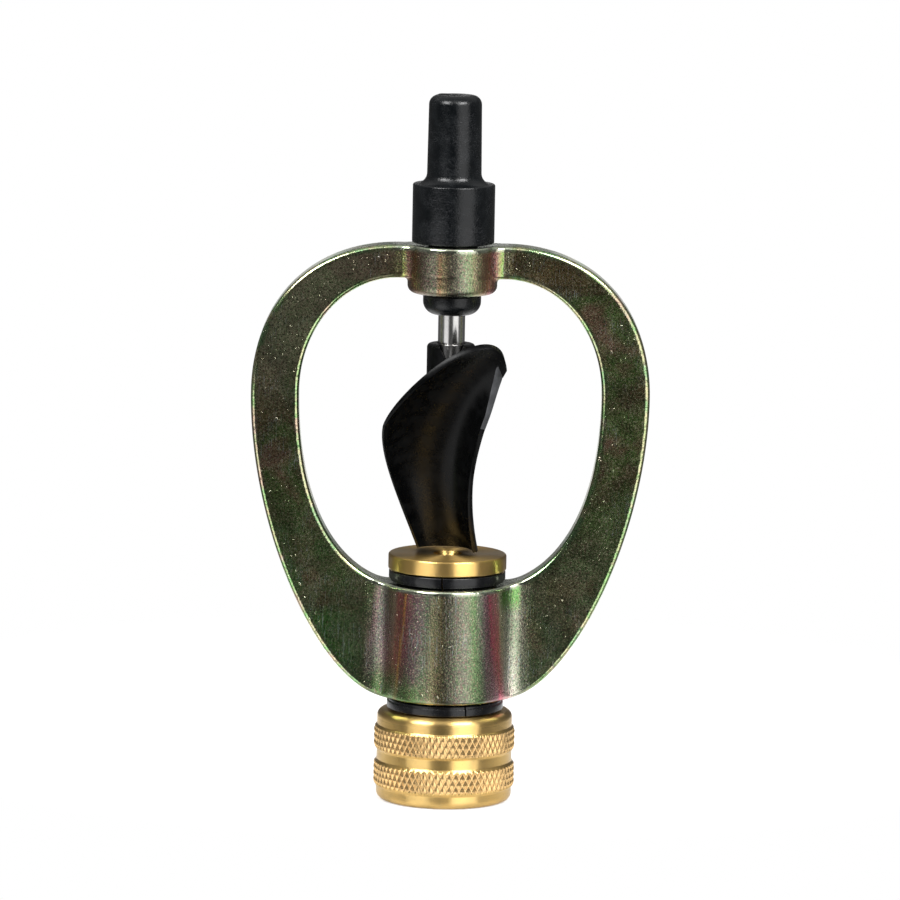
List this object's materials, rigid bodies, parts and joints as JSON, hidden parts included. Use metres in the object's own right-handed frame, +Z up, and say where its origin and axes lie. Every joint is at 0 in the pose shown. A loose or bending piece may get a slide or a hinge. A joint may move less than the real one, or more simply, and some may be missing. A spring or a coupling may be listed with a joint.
{
  "type": "butterfly sprinkler",
  "caption": "Lawn sprinkler head: knurled threaded inlet with a nozzle, a cast bow that turns on it, and a scooped spinner on a spindle held by a bearing cap.",
  "frame": {"origin": "centre of the inlet's lower face", "axes": "+Z up along the axis that everything turns on; the bow lies in the XZ plane; the scoop of the spinner faces -Y at rest"},
  "size_m": [0.0756, 0.027, 0.135],
  "materials": {
    "brass": "satin",
    "nozzle_brass": "polished",
    "passivated_zinc": "satin",
    "cap_plastic": "satin",
    "bush_plastic": "satin",
    "spinner_plastic": "gloss",
    "stainless_steel": "polished",
    "washer_rubber": "matte"
  },
  "bodies": {
    "base": {"inlet_body": "brass", "nozzle": "nozzle_brass", "inlet_washer": "washer_rubber"},
    "bow": {"bow_frame": "passivated_zinc", "lower_bush": "bush_plastic", "upper_bush": "bush_plastic", "bearing_cap": "cap_plastic"},
    "spindle": {"spindle": "stainless_steel"},
    "spinner": {"spinner": "spinner_plastic"}
  },
  "joints": [
    {"name": "bow_turn", "type": "hinge", "parent": "base", "child": "bow", "pos_m": [0, 0, 0.0198], "axis": [0, 0, 1], "continuous": true},
    {"name": "spindle_lift", "type": "slide", "parent": "bow", "child": "spindle", "axis": [0, 0, 1], "range_m": [0, 0.0052]},
    {"name": "spinner_turn", "type": "hinge", "parent": "spindle", "child": "spinner", "pos_m": [0, 0, 0.0877], "axis": [0, 0, 1], "continuous": true}
  ]
}
